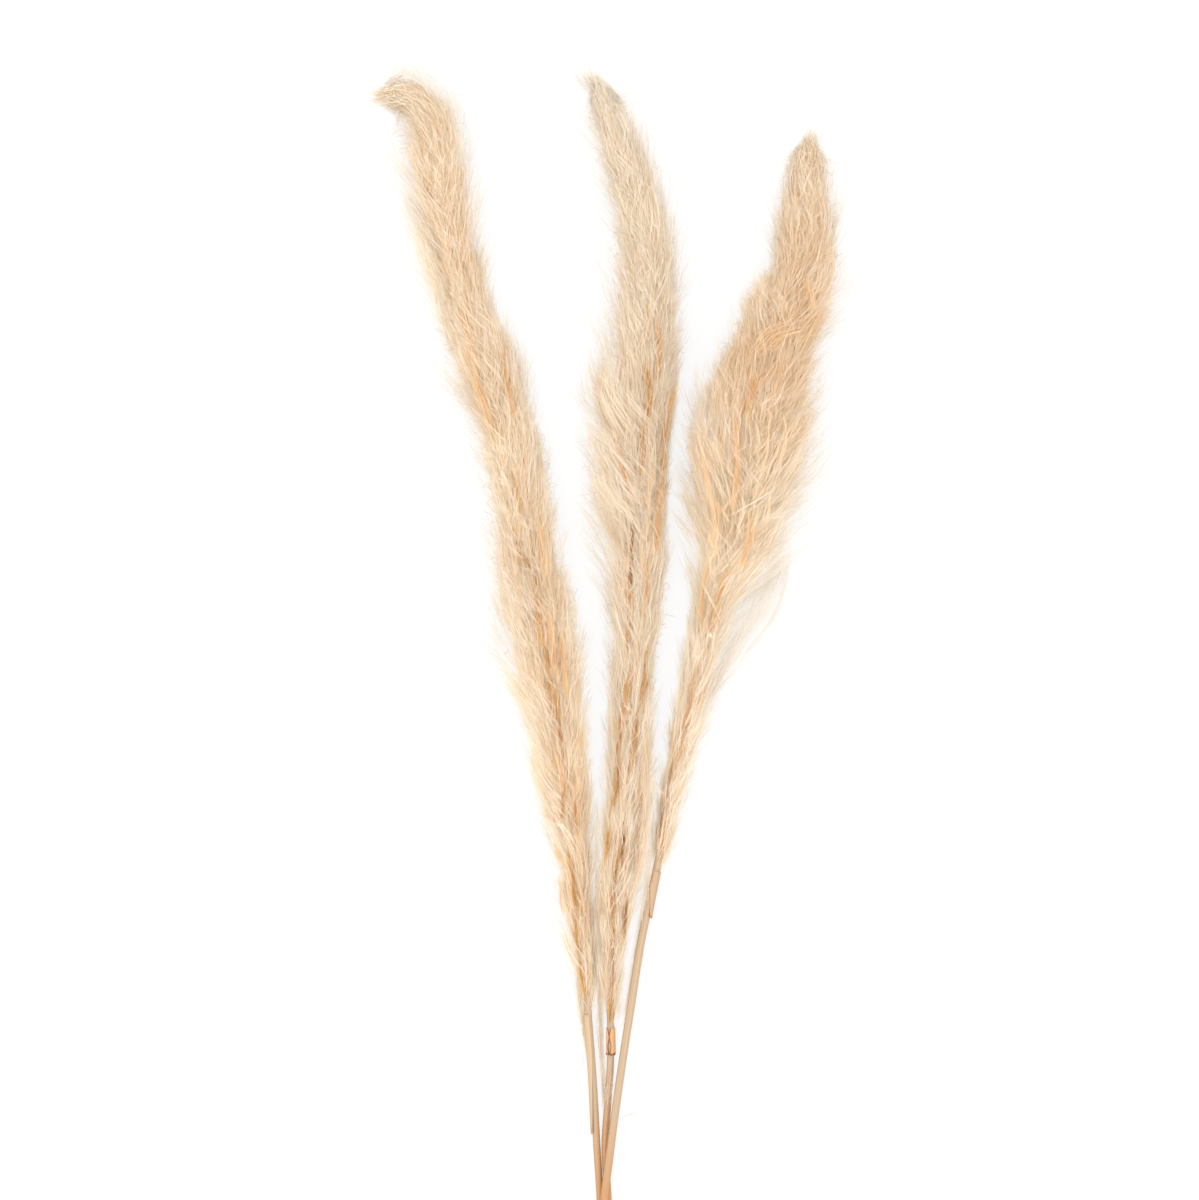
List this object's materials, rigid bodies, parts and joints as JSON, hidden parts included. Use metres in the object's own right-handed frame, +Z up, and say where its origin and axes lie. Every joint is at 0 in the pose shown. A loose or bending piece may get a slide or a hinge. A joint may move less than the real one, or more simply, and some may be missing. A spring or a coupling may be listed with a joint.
{
  "type": "bundle of dried reed",
  "caption": "Loose bundle of dried reed lying flat: straw stems crossed at their cut ends, each with a long soft feathery plume, fanned out.",
  "frame": {"origin": "on the surface that the bundle lies on, under the middle of its outline seen from above", "axes": "+Y runs from the cut stem ends to the plumes, +X to the right with the plumes pointing away, +Z up from the surface"},
  "size_m": [0.4438, 1.147, 0.0908],
  "materials": {
    "reed_stem": "satin",
    "plume_warm": "matte",
    "plume_pale": "matte",
    "dry_sheath": "matte"
  },
  "bodies": {
    "root": {"stem_left": "reed_stem", "stem_middle": "reed_stem", "stem_right": "reed_stem", "plume_left": "plume_warm", "plume_middle": "plume_pale", "plume_right": "plume_warm", "sheath_left": "dry_sheath", "sheath_middle": "dry_sheath", "sheath_right": "dry_sheath"}
  },
  "joints": []
}
